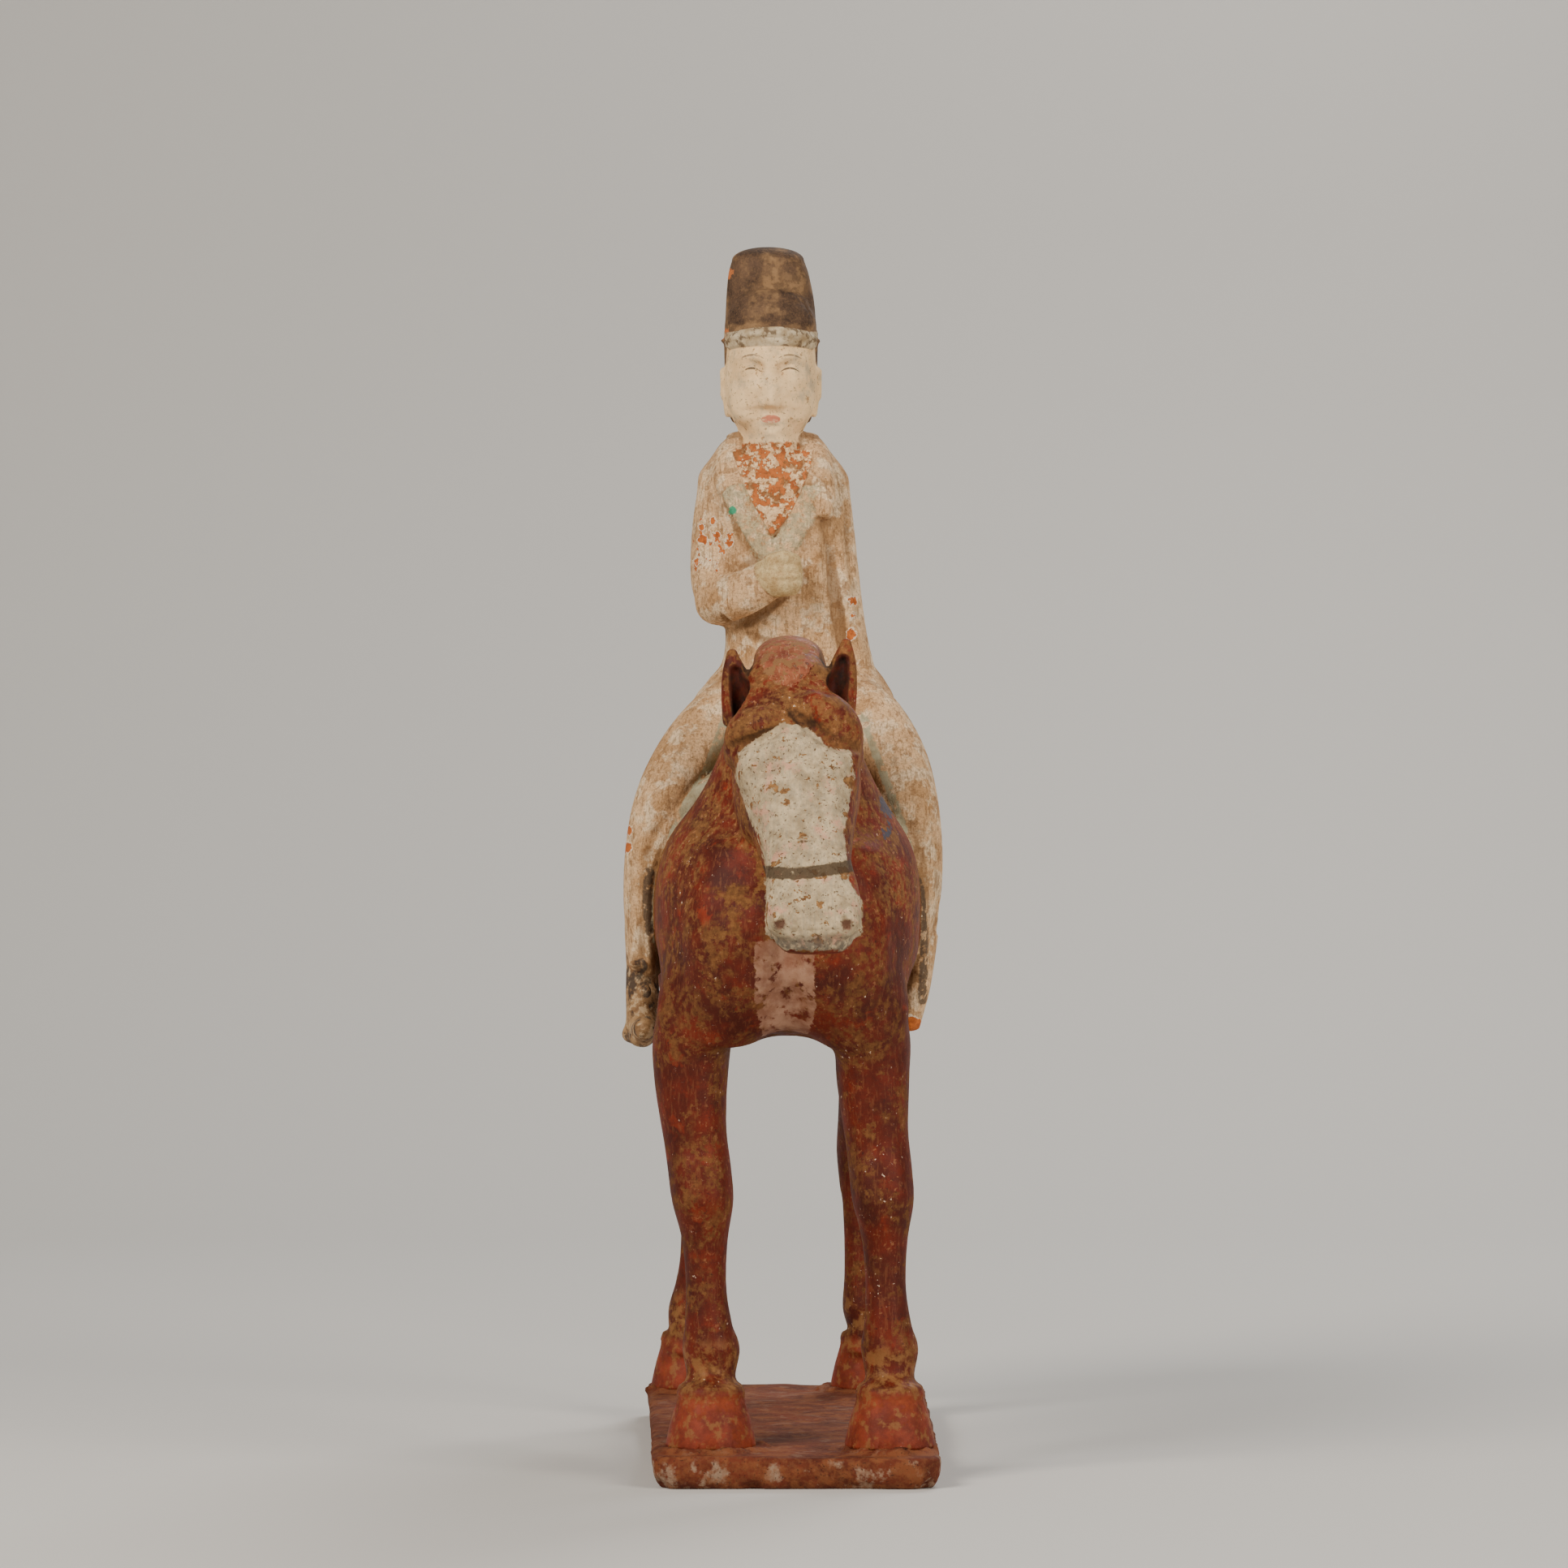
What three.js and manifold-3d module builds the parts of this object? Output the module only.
// A painted terracotta rider on a standing horse, on a hand-cut clay plinth.
// Millimetres, +Z up. The horse faces -Y and its right side is at -X. The origin is under the
// middle of the plinth, on the surface it stands on.
//
// Every form is a limb: a run of stations [x, y, z, side, deep], each the centre of one cross
// section with its two half sizes. Side is measured along the limb's reference axis, and deep
// at right angles to it. Limbs are joined into one body, as the potter joined them in clay.
import * as THREE from "three";
import { mergeVertices } from "three/addons/utils/BufferGeometryUtils.js";
import Module from "manifold-3d";

const wasm = await Module();
wasm.setup();

// Driving dimensions of the whole work
const PLINTH_TOP = 10; // thickness of the clay slab
const PLINTH_FRONT = -105;
const PLINTH_BACK = 114;
const HOOF_GAP = 0.3; // clearance between the hooves and the slab
const HOOF_Z = PLINTH_TOP + HOOF_GAP;
const RIDER_X = -4; // the rider's head and neck lean a little to the horse's right
const CHIN_Z = 307.5; // underside of the rider's chin
const CROWN_Z = 351; // top of the rider's skull, inside the hat
const HAT_RIM_Z = 338.5;
const HAT_TOP_Z = 368.4;
const HEAD_WIDTH = 29.2;

const ACROSS = new THREE.Vector3(1, 0, 0);
const ALONG = new THREE.Vector3(0, 1, 0);

// Half sizes and centres between the stations follow one smooth curve each.
function resample(stations, perSpan) {
  const curve = (points) => new THREE.CatmullRomCurve3(points, false, "catmullrom", 0.5);
  const centre = curve(stations.map(([x, y, z]) => new THREE.Vector3(x, y, z)));
  const half = curve(stations.map(([, , , side, deep]) => new THREE.Vector3(side, deep, 0)));
  const count = (stations.length - 1) * perSpan;
  return Array.from({ length: count + 1 }, (_, i) => {
    const t = i / count;
    const size = half.getPoint(t);
    return { at: centre.getPoint(t), tangent: centre.getTangent(t), side: size.x, deep: size.y };
  });
}

// One ring of a limb: a superellipse, whose power squares its corners.
function ring(section, reach, shrink, { across, sides, power }) {
  const { at, tangent } = section;
  const side = across.clone().addScaledVector(tangent, -across.dot(tangent)).normalize();
  const deep = side.clone().cross(tangent);
  const squared = (v) => Math.sign(v) * Math.abs(v) ** (2 / power);
  return Array.from({ length: sides }, (_, i) => {
    const angle = (2 * Math.PI * i) / sides;
    return at
      .clone()
      .addScaledVector(tangent, reach)
      .addScaledVector(side, shrink * section.side * squared(Math.cos(angle)))
      .addScaledVector(deep, shrink * section.deep * squared(Math.sin(angle)));
  });
}

// A closed lofted solid along the stations, with a rounded cap of the given length at each end.
function limb(stations, options = {}) {
  const style = { across: ACROSS, sides: 10, perSpan: 1, power: 2, caps: [3, 3], ...options };
  const sections = resample(stations, style.perSpan);
  const first = sections[0];
  const last = sections[sections.length - 1];
  const round = Math.SQRT1_2;
  const rings = [
    ring(first, -style.caps[0] * round, round, style),
    ...sections.map((section) => ring(section, 0, 1, style)),
    ring(last, style.caps[1] * round, round, style),
  ];
  const start = first.at.clone().addScaledVector(first.tangent, -style.caps[0]);
  const end = last.at.clone().addScaledVector(last.tangent, style.caps[1]);
  const tips = rings.length * style.sides;
  const top = tips - style.sides;
  const faces = [];
  for (let i = 0; i < style.sides; i++) {
    const j = (i + 1) % style.sides;
    faces.push([tips, i, j], [tips + 1, top + j, top + i]);
    for (let base = 0; base < top; base += style.sides) {
      const above = base + style.sides;
      faces.push([base + i, above + i, base + j], [base + j, above + i, above + j]);
    }
  }
  const positions = [...rings.flat(), start, end].flatMap((p) => p.toArray());
  const geometry = new THREE.BufferGeometry();
  geometry.setAttribute("position", new THREE.Float32BufferAttribute(positions, 3));
  geometry.setIndex(faces.flat());
  return solid(geometry);
}

// A closed three.js geometry as a solid that can be joined and cut, its faces turned outward.
function solid(geometry) {
  const bare = geometry.clone();
  bare.deleteAttribute("normal");
  bare.deleteAttribute("uv");
  const merged = mergeVertices(bare, 1e-4);
  const vertProperties = merged.attributes.position.array;
  const build = (triVerts) =>
    new wasm.Manifold(new wasm.Mesh({ numProp: 3, vertProperties, triVerts }));
  const made = build(new Uint32Array(merged.index.array));
  return made.volume() > 0 ? made : build(new Uint32Array(merged.index.array).reverse());
}

const join = (solids) => solids.reduce((sum, next) => sum.add(next));
const mirrored = (stations) => stations.map(([x, ...rest]) => [-x, ...rest]);
const shifted = (stations, dx, dz = 0) =>
  stations.map(([x, y, z, ...half]) => [x + dx, y, z + dz, ...half]);

// The horse's trunk, from the breast to the rump.
function trunk() {
  const stations = [
    [1, -103, 160, 14, 14],
    [1, -98, 160.5, 25, 24],
    [1, -88, 161.5, 33, 30],
    [1, -70, 163.5, 38, 34],
    [1, -46, 166, 39.6, 36.5],
    [0.5, -10, 167, 40.4, 37.5],
    [0, 30, 168.5, 40.4, 37],
    [0, 62, 171, 39, 36],
    [0, 86, 173, 34.5, 33],
    [0, 103, 175, 23, 24],
  ];
  return limb(stations, { sides: 18, power: 2.4, caps: [4, 6] });
}

// The arched neck, broad at the shoulders, with the clipped mane as a low crest on it.
function neck() {
  const column = [
    [1.6, -60, 164, 39, 42],
    [1.8, -63, 180, 36, 39],
    [2, -67, 196, 28.6, 30],
    [2, -72.5, 211, 21.6, 24.5],
    [2, -79, 223, 17, 20.5],
    [1.8, -86.5, 231, 13, 15.5],
  ];
  const crest = [
    [1.6, -94, 240, 8, 5],
    [1.4, -83, 241.6, 9.6, 5.8],
    [1, -68, 238.5, 7.6, 6],
    [0.6, -55, 229, 6, 7],
    [0, -45, 216, 5, 8],
    [0, -38, 203, 4.5, 8],
  ];
  return [limb(column, { sides: 18, caps: [6, 7] }), limb(crest, { sides: 8 })];
}

// The head hangs nearly upright and is turned a little to the horse's left.
function horseHead() {
  const skull = [
    [1.8, -94, 231, 13.4, 11.4],
    [2.6, -99, 220.4, 17.2, 16.4],
    [3.4, -102.6, 210, 18, 19],
    [4.6, -109.6, 199.6, 16.6, 18.2],
    [5.8, -118.4, 189.6, 14, 15.4],
    [7, -126.6, 180, 12.2, 13],
    [8.2, -133, 171, 13.3, 12.2],
    [8.4, -136, 163.4, 12.8, 10.8],
    [8.5, -137, 160, 11, 9],
  ];
  const cheek = [
    [3, -88, 214, 14, 12],
    [3.4, -92.6, 204, 15.4, 14.4],
    [4.2, -101, 193, 13, 12],
  ];
  const brow = [
    [6.6, -112, 227, 4.6, 4.8],
    [13, -112.6, 225, 5.6, 6.6],
    [17.8, -108, 219.6, 4.8, 6.4],
    [19.4, -102, 213.4, 3, 4.4],
  ];
  const nostril = [
    [16.8, -142, 170, 3.8, 4.2],
    [17.6, -143.4, 164.6, 3.6, 4],
  ];
  // The middle of the face at the brows and at the muzzle, as the head is turned
  const browX = 2.6;
  const muzzleX = 8.3;
  const pair = (stations, middle, options) => [
    limb(stations, options),
    limb(shifted(mirrored(stations), 2 * middle), options),
  ];
  return [
    limb(skull, { sides: 16, power: 2.6, caps: [6, 3] }),
    limb(cheek, { sides: 12, caps: [5, 6] }),
    ...pair(brow, browX, { sides: 7, caps: [2.4, 2] }),
    ...pair(nostril, muzzleX, { sides: 8, caps: [2, 2.4] }),
  ];
}

// An ear is a leaf with its hollow facing forward.
function ears() {
  const leaf = [
    [15.6, -96, 225, 5, 4.4],
    [16.2, -97.5, 232, 4.8, 3.8],
    [17.2, -98.4, 239, 3.5, 2.7],
    [18, -98.8, 244.6, 1.4, 1.2],
  ];
  const hollow = [
    [15.8, -102, 228.5, 2.8, 3.2],
    [16.4, -102, 234.5, 2.5, 3.2],
    [17.3, -101.4, 240.6, 1.2, 2.2],
  ];
  const ear = (outer, inner) =>
    limb(outer, { sides: 8, caps: [2, 1.4] }).subtract(limb(inner, { sides: 6, caps: [2, 1] }));
  // The right ear stands lower, as the head is tilted.
  const [dx, dz] = [3, -3];
  return [
    ear(leaf, hollow),
    ear(shifted(mirrored(leaf), dx, dz), shifted(mirrored(hollow), dx, dz)),
  ];
}

function hoof(x, y, width, length) {
  const stations = [
    [x, y, 25, width * 0.68, length * 0.74],
    [x, y, 18, width * 0.86, length * 0.9],
    [x, y, HOOF_Z - 2, width * 1.02, length * 1.02],
  ];
  return limb(stations, { sides: 11, caps: [3, 1] });
}

// A foreleg from the shoulder to the hoof; the knee is at a third of its height.
function foreleg(x, foot) {
  const lean = (share) => x + (foot - x) * share;
  const stations = [
    [x * 0.94, -69, 153, 9.6, 18],
    [x, -74, 131, 11.2, 16],
    [x, -77, 118, 10.6, 12.5],
    [lean(0.15), -78.5, 105, 9.5, 10.6],
    [lean(0.45), -80, 91, 9.5, 10.2],
    [lean(0.6), -80.5, 82, 9.2, 9.8],
    [lean(0.7), -78.5, 71, 6.8, 8.2],
    [lean(0.76), -77.5, 58, 6, 7.2],
    [lean(0.86), -77, 47, 7, 8.2],
    [foot, -76, 38.5, 8.5, 9.8],
    [foot, -77.5, 30.5, 7.4, 8],
    [foot, -79, 25.5, 9.4, 10.8],
  ];
  return [limb(stations, { sides: 10, caps: [5, 3] }), hoof(foot, -80.5, 13.6, 14.4)];
}

// A hind leg from the haunch to the hoof, with the hock drawn back.
function hindleg(thigh, hock, foot) {
  const lean = (share) => hock + (foot - hock) * share;
  const stations = [
    [thigh * 0.8, 70, 168, 14, 25],
    [thigh * 0.96, 71, 155, 13.6, 26],
    [thigh, 75, 139, 12.4, 23],
    [thigh, 82, 118, 9.8, 16],
    [(thigh + hock) / 2, 91, 101, 8.4, 11.6],
    [hock, 98.5, 87, 8, 10.4],
    [hock, 99, 76, 7.4, 8.8],
    [lean(0.1), 97, 60, 6, 7.2],
    [lean(0.3), 96, 47, 6.4, 7.6],
    [lean(0.7), 96, 36, 8, 9.2],
    [foot, 94.5, 28.5, 7.2, 8],
    [foot, 95, 24, 9.2, 10.2],
  ];
  return [limb(stations, { sides: 10, caps: [5, 3] }), hoof(foot, 98, 13, 13)];
}

// The dock is short, tied, and tapers to a cut end.
function tail() {
  const stations = [
    [0, 98, 191, 7, 6],
    [0, 108, 189, 6.4, 6],
    [0, 114.6, 179, 6, 5.4],
    [0, 116, 166, 6.8, 5.8],
    [0, 114, 152, 5, 4.6],
    [0, 111.6, 142, 2.6, 2.6],
  ];
  return limb(stations, { sides: 8, caps: [3, 2] });
}

// A sheet laid over the horse's back: it runs up the right flank to the spine, then down the left.
function overBack(rightFlank, spine, leftFlank, options) {
  const path = [...rightFlank, spine, ...leftFlank.toReversed()];
  return limb(path, { across: ALONG, power: 3, caps: [1.5, 1.5], ...options });
}

function saddle() {
  const blanket = [
    [-40.4, 0, 147, 37, 3.4],
    [-41, -2, 162, 40, 3.6],
    [-40.2, -3, 178, 41, 4],
    [-33.4, -2, 192, 40, 5.8],
    [-20, 0, 203.2, 37, 6.2],
  ];
  const cantle = [
    [-24, 36, 201, 5, 5],
    [-13, 38, 213, 5, 5],
    [0, 38.6, 217.6, 5, 5],
    [13, 38, 213, 5, 5],
    [24, 36, 201, 5, 5],
  ];
  return [
    overBack(blanket, [0, 2, 208.6, 35, 5], mirrored(blanket), { sides: 8 }),
    limb(cantle, { across: ALONG, sides: 7 }),
  ];
}

// The coat's skirt falls from the waist over the saddle and both flanks.
function skirt() {
  const right = [
    [-44.6, 9, 150, 24, 2.8],
    [-45, 5, 164, 28, 3],
    [-44, 2, 181, 32, 3.4],
    [-40.6, 1, 196, 33, 4.6],
    [-35, 2, 208, 31, 6],
    [-26.6, 4, 218, 29, 8],
    [-15, 5, 225, 27, 10],
  ];
  const left = [
    [41.6, 9, 150, 24, 2.8],
    [43.8, 5, 164, 28, 3],
    [44, 2, 181, 32, 3.4],
    [41.2, 1, 196.6, 33, 4.6],
    [37, 2, 209.6, 31, 6],
    [30, 4, 220.6, 29, 8],
    [18.6, 5, 227, 27, 10],
  ];
  return overBack(right, [2, 6, 228.4, 26, 11], left, { sides: 12, power: 2.6 });
}

// A thigh and knee under the coat, then the coat's fall to its hem over the boot.
function robedLegs() {
  const right = [
    [-8, 4, 227, 13, 14],
    [-19.6, -9, 220.4, 12, 13],
    [-29, -20, 211, 10.4, 12],
    [-36.2, -28, 199.4, 8.4, 11.5],
    [-41, -31, 186, 6, 11.5],
    [-42.8, -29, 170, 5, 12.5],
    [-43.2, -25, 152, 4.2, 12.5],
  ];
  const left = [
    [10, 4, 229.6, 14, 15],
    [22, -9, 223.6, 13, 14],
    [31.6, -20, 213, 10.8, 12],
    [37.4, -28, 200, 8.4, 11.5],
    [41, -31, 186, 6, 11.5],
    [41.6, -29, 170, 5, 12.5],
    [40, -25, 152, 4.2, 12.5],
  ];
  return [limb(right, { sides: 12 }), limb(left, { sides: 12 })];
}

// The right boot is whole. The left one has lost its foot, and ends in a broken edge.
function boots() {
  const shaft = [
    [-43.4, -27, 158, 3.8, 7.4],
    [-42.6, -29, 143, 5.4, 7],
    [-42.6, -31, 132, 5.2, 7.6],
  ];
  const foot = [
    [-43.6, -24, 130.5, 4.2, 5],
    [-43.6, -36, 128.6, 4.4, 5],
    [-43.4, -47, 130, 3.6, 3.6],
  ];
  const stump = [
    [42.6, -27, 158, 3.8, 7.4],
    [40, -29, 143, 4.2, 7],
    [37.4, -29, 131, 3.6, 5.4],
  ];
  return [
    limb(shaft, { sides: 8, caps: [2, 3] }),
    limb(foot, { sides: 8, caps: [3, 3.4] }),
    limb(stump, { sides: 8, caps: [2, 3] }),
  ];
}

function riderTrunk() {
  const stations = [
    [2, 8, 214, 26, 23],
    [3, 7, 228.6, 31, 21.4],
    [3.8, 6.6, 235.4, 28, 20.2],
    [4, 6, 241.4, 23.2, 19],
    [3, 5, 251, 21.2, 17.8],
    [0.4, 4, 263, 21.4, 17.8],
    [-1.8, 4, 277, 22, 17.6],
    [-2.8, 4.6, 289, 22.6, 16],
    [-3.3, 5.4, 298, 23, 13.8],
    [-3.3, 6, 304.4, 18.8, 11.4],
    [-3, 6.6, 310, 13.4, 9.4],
  ];
  const seat = [
    [0, -20, 209, 22, 12],
    [0, 0, 212, 27, 16],
    [0, 24, 212, 26, 15],
    [0, 34, 209, 20, 11],
  ];
  const throat = [
    [RIDER_X, 0.5, 296, 9, 10],
    [RIDER_X, 1, 313, 8.4, 8.8],
  ];
  const neckline = [
    [RIDER_X, -13, 303, 8.6, 5],
    [RIDER_X + 0.8, -15.5, 292, 5.4, 3.2],
    [RIDER_X + 1.8, -16, 283, 1.4, 2],
  ];
  return limb(stations, { sides: 16, power: 2.2, caps: [4, 1.6] })
    .subtract(limb(neckline, { sides: 8, caps: [6, 1] }))
    .add(limb(throat, { sides: 12, caps: [2, 2] }))
    .add(limb(seat));
}

// The coat is worn open at the neck: a roll on each shoulder and two facings that meet in a V.
function collar() {
  const rightRoll = [
    [-12.4, 9, 308.4, 4.8, 3.4],
    [-16.2, 1, 306, 5.2, 3.8],
    [-17, -6.2, 299.6, 5, 3.4],
    [-15.8, -10.4, 291, 3.6, 2.6],
  ];
  const leftRoll = [
    [5.6, 9, 308.6, 4.8, 3.4],
    [9.6, 0.6, 306.6, 5.2, 4],
    [11.2, -7.2, 300, 5, 4],
    [11.8, -11.6, 291, 4.2, 3.6],
    [12.2, -12.4, 286, 2.8, 2.8],
  ];
  const facing = [
    [-14, -10.4, 297, 3.4, 1.8],
    [-10.6, -13.6, 288, 3.6, 1.8],
    [-5.4, -15, 279.4, 3.4, 1.8],
    [-1.4, -15.2, 275, 2.6, 1.6],
  ];
  const middle = -1.4;
  return [
    limb(rightRoll, { sides: 9, caps: [2.4, 2] }),
    limb(leftRoll, { sides: 9, caps: [2.4, 1.6] }),
    limb(facing, { sides: 8, caps: [2, 1.6] }),
    limb(shifted(mirrored(facing), 2 * middle), { sides: 8, caps: [2, 1.6] }),
  ];
}

// The right arm is bent across the chest and its fist held the reins.
function rightArm() {
  const upper = [
    [-19, 4.6, 297, 6, 7],
    [-20.8, 4, 288, 6.8, 8.8],
    [-21.4, 3, 276, 7.3, 9.6],
    [-21.2, 0, 265, 7.3, 9.6],
    [-19.4, -4.6, 257.6, 6.4, 7.2],
  ];
  const forearm = [
    [-19.4, -7, 259.4, 7, 6],
    [-13, -15, 260.6, 6, 7],
    [-6.6, -19, 264.6, 5.4, 6.6],
  ];
  const fist = [
    [-4.4, -19.6, 266.4, 5, 5.8],
    [0.4, -21.8, 267.6, 5.4, 6.6],
    [3, -21, 267.6, 4, 5.6],
  ];
  return [
    limb(upper),
    limb(forearm),
    limb(fist, { caps: [2, 2] }),
  ];
}

// The left sleeve hangs from the shoulder, with the hand inside it.
function leftSleeve() {
  const sleeve = [
    [13.4, 4.6, 297, 6, 7],
    [15, 4, 288, 6, 8.8],
    [15.8, 2, 276, 6.4, 9.8],
    [17.2, 0, 263, 6.4, 10.2],
    [19.2, -1, 251, 6, 10],
    [21.8, -2, 241, 5.6, 9.4],
    [25, -3, 233, 4.6, 8],
  ];
  const fold = [
    [9.6, -15.6, 281, 2.4, 2],
    [11, -15.4, 268, 2.6, 2.2],
    [12.8, -14.6, 252, 2.4, 2],
    [15.4, -15.4, 240, 1.8, 1.8],
  ];
  return [limb(sleeve), limb(fold, { sides: 7, caps: [2, 2] })];
}

// The face follows the usual proportions: eyes at half the head, nose halfway to the chin.
function riderHead() {
  const eyes = (CHIN_Z + CROWN_Z) / 2;
  const noseBase = (CHIN_Z + eyes) / 2;
  const cheek = HEAD_WIDTH / 2;
  const skull = [
    [RIDER_X, -4.6, CHIN_Z + 2.6, 6, 7],
    [RIDER_X, -2.2, CHIN_Z + 6.4, cheek - 3.8, 11.8],
    [RIDER_X, -0.4, CHIN_Z + 11.4, cheek - 1.3, 14.2],
    [RIDER_X, 0.6, CHIN_Z + 17, cheek - 0.1, 15.2],
    [RIDER_X, 1.2, eyes + 2, cheek, 15.4],
    [RIDER_X, 2, HAT_RIM_Z + 1, cheek - 0.3, 15],
  ];
  const nose = [
    [RIDER_X, -13.6, eyes + 1, 1.3, 1.2],
    [RIDER_X, -14.8, noseBase + 2.6, 1.7, 1.8],
    [RIDER_X, -15, noseBase + 1, 2.3, 1.7],
  ];
  const ear = [
    [RIDER_X + cheek - 1, 4, noseBase + 2, 1.2, 2],
    [RIDER_X + cheek - 0.4, 4.4, eyes + 3.6, 1.7, 3.2],
  ];
  return [
    limb(skull, { sides: 16, caps: [2.6, 2] }),
    limb(nose, { sides: 7, caps: [1, 1] }),
    limb(ear, { sides: 7, caps: [2, 2] }),
    limb(shifted(mirrored(ear), 2 * RIDER_X), { sides: 7, caps: [2, 2] }),
  ];
}

// The cap has a low front dome, a tall crown behind it, a rolled band and two tails at the back.
function hat() {
  const band = [
    [RIDER_X, 1.8, HAT_RIM_Z - 0.8, 14.8, 15.8],
    [RIDER_X, 1.8, HAT_RIM_Z + 3, 14.9, 15.8],
  ];
  const dome = [
    [RIDER_X - 0.1, 0.4, HAT_RIM_Z + 3, 14.2, 14.8],
    [RIDER_X - 0.1, 0, HAT_RIM_Z + 8, 13.8, 14],
    [RIDER_X - 0.1, 0, HAT_RIM_Z + 12, 12.2, 12],
  ];
  const crown = [
    [RIDER_X - 0.1, 6, HAT_RIM_Z + 2, 14, 11],
    [RIDER_X - 0.2, 5.4, HAT_RIM_Z + 12, 13.6, 10.6],
    [RIDER_X - 0.7, 3.6, HAT_RIM_Z + 21, 12.4, 10],
    [RIDER_X - 0.9, 2.8, HAT_TOP_Z - 4, 11, 9],
  ];
  const tails = [
    [RIDER_X - 3.4, 17, HAT_RIM_Z, 2.6, 1.6],
    [RIDER_X - 4.2, 18.6, HAT_RIM_Z - 11, 2.6, 1.4],
    [RIDER_X - 5, 17.6, HAT_RIM_Z - 24, 2.4, 1.2],
  ];
  return [
    limb(band, { sides: 14, caps: [1.4, 1.4] }),
    limb(dome, { sides: 14, caps: [1, 5] }),
    limb(crown, { sides: 14, power: 2.5, caps: [1, 4] }),
    limb(tails, { sides: 6, caps: [2, 1.5] }),
    limb(shifted(mirrored(tails), 2 * RIDER_X), { sides: 6, caps: [2, 1.5] }),
  ];
}

// Horse and rider were modelled together and fired as one.
function horseAndRider() {
  const pieces = join([
    trunk(),
    ...neck(),
    ...horseHead(),
    ...ears(),
    ...foreleg(-27.4, -21.4),
    ...foreleg(26, 31),
    ...hindleg(-27, -27, -30),
    ...hindleg(27, 24.7, 27.6),
    tail(),
    ...saddle(),
    skirt(),
    ...robedLegs(),
    ...boots(),
    riderTrunk(),
    ...collar(),
    ...rightArm(),
    ...leftSleeve(),
    ...riderHead(),
    ...hat(),
  ]);
  // The hooves are cut level, just clear of the slab.
  const depth = 40;
  const ground = new THREE.BoxGeometry(200, 300, depth);
  ground.translate(0, 0, HOOF_Z - depth / 2);
  // Pockets that are closed off inside the clay are filled: only the outer skin is kept.
  return pieces
    .subtract(solid(ground))
    .decompose()
    .reduce((most, next) => (next.volume() > most.volume() ? next : most));
}

// The slab's outline, drawn in from its full size: wider at the back, with rounded corners.
function slabOutline(inset) {
  const corner = 8;
  const [front, back] = [PLINTH_FRONT + inset, PLINTH_BACK - inset];
  const left = (y) => -38.4 - (6.2 * (y - PLINTH_FRONT)) / (PLINTH_BACK - PLINTH_FRONT) + inset;
  const right = 45.8 - inset;
  const outline = new THREE.Path();
  outline.moveTo(left(front) + corner, front);
  outline.lineTo(right - corner, front);
  outline.quadraticCurveTo(right, front, right, front + corner);
  outline.lineTo(right, back - corner);
  outline.quadraticCurveTo(right, back, right - corner, back);
  outline.lineTo(left(back) + corner, back);
  outline.quadraticCurveTo(left(back), back, left(back), back - corner);
  outline.lineTo(left(front), front + corner);
  outline.quadraticCurveTo(left(front), front, left(front) + corner, front);
  return outline.getPoints(3).slice(0, -1);
}

// The slab narrows towards its underside, and its edges are worn and chipped.
function plinth() {
  const levels = [
    [0, 3],
    [1.4, 1.6],
    [4, 0.3],
    [8.4, 0],
    [PLINTH_TOP, 1.2],
  ];
  const rings = levels.map(([z, inset]) => slabOutline(inset).map((p) => [p.x, p.y, z]));
  const count = rings[0].length;
  const caps = THREE.ShapeUtils.triangulateShape(slabOutline(0), []);
  const top = (levels.length - 1) * count;
  const faces = caps.flatMap(([a, b, c]) => [
    [a, c, b],
    [top + a, top + b, top + c],
  ]);
  for (let i = 0; i < count; i++) {
    const j = (i + 1) % count;
    for (let base = 0; base < top; base += count) {
      const above = base + count;
      faces.push([base + i, base + j, above + i], [base + j, above + j, above + i]);
    }
  }
  const geometry = new THREE.BufferGeometry();
  geometry.setAttribute("position", new THREE.Float32BufferAttribute(rings.flat(2), 3));
  geometry.setIndex(faces.flat());
  const chips = [
    [-9, PLINTH_FRONT + 2, 0, 4, 3],
    [22, PLINTH_FRONT + 2, 0, 8, 2.6],
    [44, PLINTH_FRONT + 3, 0, 5, 3.6],
    [-38.5, PLINTH_FRONT + 4, 0, 5, 4.4],
    [46.4, -46, 9.4, 4, 3],
    [-42.6, 30, 0.5, 4, 3],
  ];
  return chips.reduce((left, [x, y, z, reach, size]) => {
    const stations = [
      [x - reach / 2, y, z, size, size * 0.8],
      [x + reach / 2, y, z, size, size * 0.8],
    ];
    return left.subtract(limb(stations, { across: ALONG, sides: 7, caps: [reach, reach] }));
  }, solid(geometry));
}

function mesh(name, body, colour, roughness) {
  const made = body.getMesh();
  const geometry = new THREE.BufferGeometry();
  geometry.setAttribute("position", new THREE.Float32BufferAttribute(made.vertProperties, 3));
  geometry.setIndex(new THREE.BufferAttribute(made.triVerts, 1));
  geometry.computeVertexNormals();
  const material = new THREE.MeshStandardMaterial({ color: colour, roughness, metalness: 0 });
  const part = new THREE.Mesh(geometry, material);
  part.name = name;
  return part;
}

const figure = new THREE.Group();
figure.add(mesh("horse_and_rider", horseAndRider(), 0x9a6a4a, 0.85));
figure.add(mesh("plinth", plinth(), 0x8a4a34, 0.9));

export default figure;
